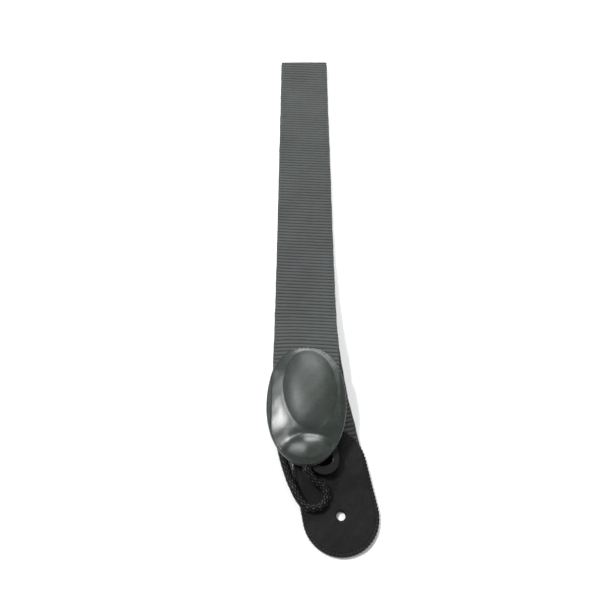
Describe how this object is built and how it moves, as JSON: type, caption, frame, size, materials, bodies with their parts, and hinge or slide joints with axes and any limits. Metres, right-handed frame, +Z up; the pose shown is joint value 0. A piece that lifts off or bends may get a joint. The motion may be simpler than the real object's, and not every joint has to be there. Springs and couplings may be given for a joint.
{
  "type": "saxophone neck strap",
  "caption": "Ribbed nylon neck strap folded in half, leather tab at each end, braided cord with sliding adjuster and swivelling snap hook stored between the halves.",
  "frame": {"origin": "centre of the folded strap's footprint, on the surface it lies on", "axes": "+Y along the strap from the tabs to the fold, +Z up, +X to the right seen from the tabs"},
  "size_m": [0.06, 0.3874, 0.0186],
  "materials": {
    "webbing": "ribbed matt nylon",
    "leather": "fine grain, semi-matt",
    "thread": "waxed thread",
    "cord": "braided",
    "plastic": "moulded, glossy",
    "steel": "bright"
  },
  "bodies": {
    "back_half": {"back_webbing": "webbing", "fold_webbing": "webbing", "back_tab_lining": "leather", "back_tab_face": "leather", "back_tab_stitching": "thread"},
    "front_half": {"front_webbing": "webbing", "front_tab_lining": "leather", "front_tab_face": "leather", "front_tab_stitching": "thread", "cord": "cord", "cord_end_knot": "cord", "cord_tip": "cord", "cord_sewn_end": "cord"},
    "adjuster": {"adjuster": "plastic"},
    "hook": {"hook_body": "plastic", "gate_pin": "steel", "gate_spring": "steel"},
    "eye": {"swivel_eye": "plastic", "swivel_washer": "steel"},
    "gate": {"gate": "plastic"}
  },
  "joints": [
    {"name": "neck_fold", "type": "hinge", "parent": "back_half", "child": "front_half", "pos_m": [-0.00785, 0.1903, 0.0034], "axis": [-1, 0, 0], "range_deg": [0, 170], "deforming": ["fold_webbing"]},
    {"name": "adjuster_slide", "type": "slide", "parent": "front_half", "child": "adjuster", "axis": [0, 1, 0], "range_m": [-0.005, 0.012]},
    {"name": "hook_swing", "type": "hinge", "parent": "front_half", "child": "hook", "pos_m": [-0.00355, -0.1157, 0.0088], "axis": [0, 0, 1], "range_deg": [-2, 12], "deforming": ["cord"]},
    {"name": "eye_swivel", "type": "hinge", "parent": "hook", "child": "eye", "pos_m": [-0.00355, -0.1157, 0.0088], "axis": [0.1689, -0.9848, -0.0416], "continuous": true},
    {"name": "gate_hinge", "type": "hinge", "parent": "hook", "child": "gate", "pos_m": [-0.0063, -0.13158, 0.00817], "axis": [0.007, -0.041, 0.9991], "range_deg": [0, 20], "stiffness_Nm_per_rad": 0.01, "springref_deg": -17.19, "deforming": ["gate_spring"]}
  ]
}
